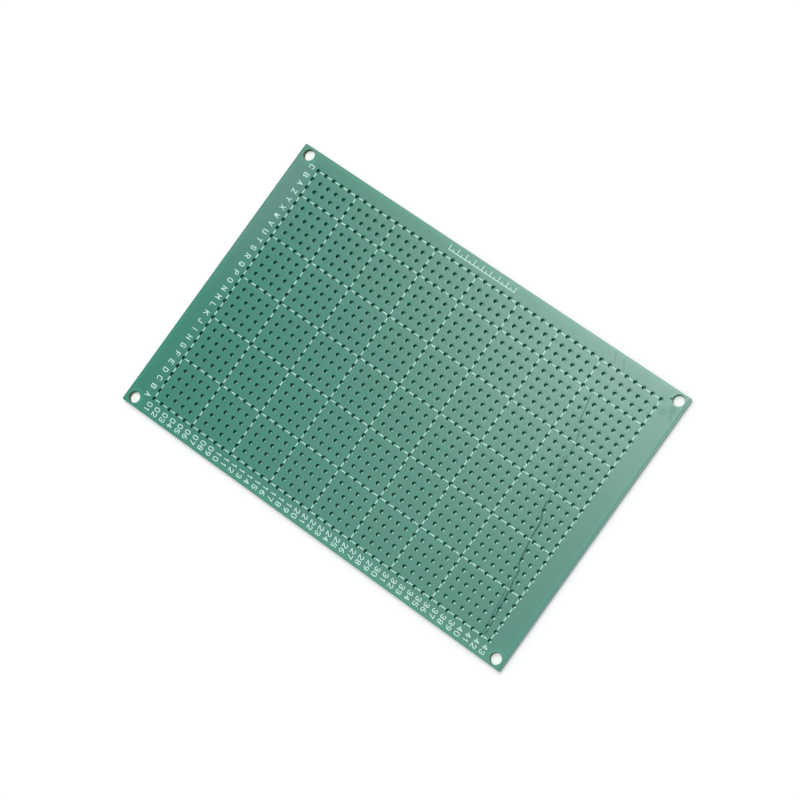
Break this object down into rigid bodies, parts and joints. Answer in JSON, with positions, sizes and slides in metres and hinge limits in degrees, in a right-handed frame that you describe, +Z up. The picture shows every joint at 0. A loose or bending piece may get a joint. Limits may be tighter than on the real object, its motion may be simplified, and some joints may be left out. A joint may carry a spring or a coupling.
{
  "type": "bare circuit board",
  "caption": "Bare prototyping circuit board: a flat green sheet with a regular grid of lead holes, tinned pads beneath, corner fixing holes and a white printed grid.",
  "frame": {"origin": "middle of the underside, on the surface that the board lies on", "axes": "+X along the long side through the numbered columns, +Y along the short side through the lettered rows, +Z up out of the printed face"},
  "size_m": [0.12, 0.08, 0.0016],
  "materials": {
    "laminate": "glass-fibre epoxy laminate, matte cut edges",
    "solder_mask_top": "thin green solder mask, semi-gloss",
    "solder_mask_bottom": "thin green solder mask, semi-gloss",
    "tinned_copper": "tinned copper, satin",
    "legend_ink": "white legend ink, matte"
  },
  "bodies": {
    "root": {"laminate": "laminate", "top_mask": "solder_mask_top", "bottom_mask": "solder_mask_bottom", "solder_pads": "tinned_copper", "grid_lines": "legend_ink", "row_letters": "legend_ink", "column_numbers": "legend_ink", "pitch_scale": "legend_ink"}
  },
  "joints": []
}
